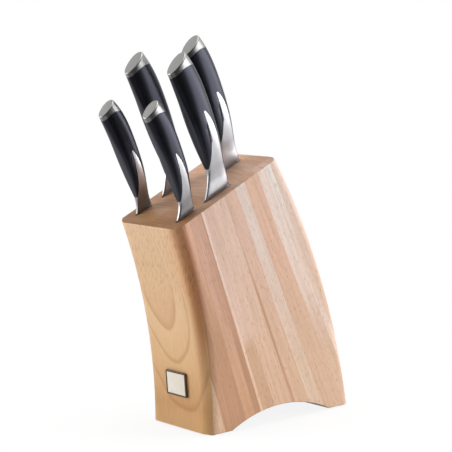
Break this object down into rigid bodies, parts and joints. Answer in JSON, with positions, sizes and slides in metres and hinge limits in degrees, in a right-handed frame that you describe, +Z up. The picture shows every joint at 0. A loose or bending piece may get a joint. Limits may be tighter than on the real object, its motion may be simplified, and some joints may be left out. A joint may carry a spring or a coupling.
{
  "type": "knife block with knives",
  "caption": "Wooden knife block with a curved front and an arched base, holding kitchen knives with dark moulded grips and steel bolsters and end caps.",
  "frame": {"origin": "on the table, below the middle of the whole outline in width and depth", "axes": "+Z up, front of the block towards -Y, +X to the right of someone who faces +Y; the blades lie in planes square to X"},
  "size_m": [0.086, 0.2492, 0.3611],
  "materials": {
    "facing_wood": "satin oiled golden board",
    "board_wood": "satin oiled boards glued up from strips",
    "pad_rubber": "matte",
    "badge_metal": "satin dark brown",
    "badge_enamel": "satin cream",
    "blade_steel": "satin polished along the knife",
    "grip_plastic": "satin black with a bluish sheen",
    "cap_steel": "polished side and brushed end face"
  },
  "bodies": {
    "block": {"front_facing": "facing_wood", "outer_board_left": "board_wood", "inner_board_left": "board_wood", "inner_board_right": "board_wood", "outer_board_right": "board_wood", "pad_front_left": "pad_rubber", "pad_front_right": "pad_rubber", "pad_rear_left": "pad_rubber", "pad_rear_right": "pad_rubber", "badge_plate": "badge_metal", "badge_face": "badge_enamel"},
    "paring_knife": {"paring_blade": "blade_steel", "paring_grip": "grip_plastic", "paring_cap": "cap_steel"},
    "utility_knife": {"utility_blade": "blade_steel", "utility_grip": "grip_plastic", "utility_cap": "cap_steel"},
    "carving_knife": {"carving_blade": "blade_steel", "carving_grip": "grip_plastic", "carving_cap": "cap_steel"},
    "chef_knife": {"chef_blade": "blade_steel", "chef_grip": "grip_plastic", "chef_cap": "cap_steel"},
    "bread_knife": {"bread_blade": "blade_steel", "bread_grip": "grip_plastic", "bread_cap": "cap_steel"}
  },
  "joints": [
    {"name": "paring_slide", "type": "slide", "parent": "block", "child": "paring_knife", "axis": [0, -0.3746, 0.9272], "range_m": [0, 0.105]},
    {"name": "utility_slide", "type": "slide", "parent": "block", "child": "utility_knife", "axis": [0, -0.3746, 0.9272], "range_m": [0, 0.14]},
    {"name": "carving_slide", "type": "slide", "parent": "block", "child": "carving_knife", "axis": [0, -0.3746, 0.9272], "range_m": [0, 0.215]},
    {"name": "chef_slide", "type": "slide", "parent": "block", "child": "chef_knife", "axis": [0, -0.3746, 0.9272], "range_m": [0, 0.215]},
    {"name": "bread_slide", "type": "slide", "parent": "block", "child": "bread_knife", "axis": [0, -0.3746, 0.9272], "range_m": [0, 0.215]}
  ]
}
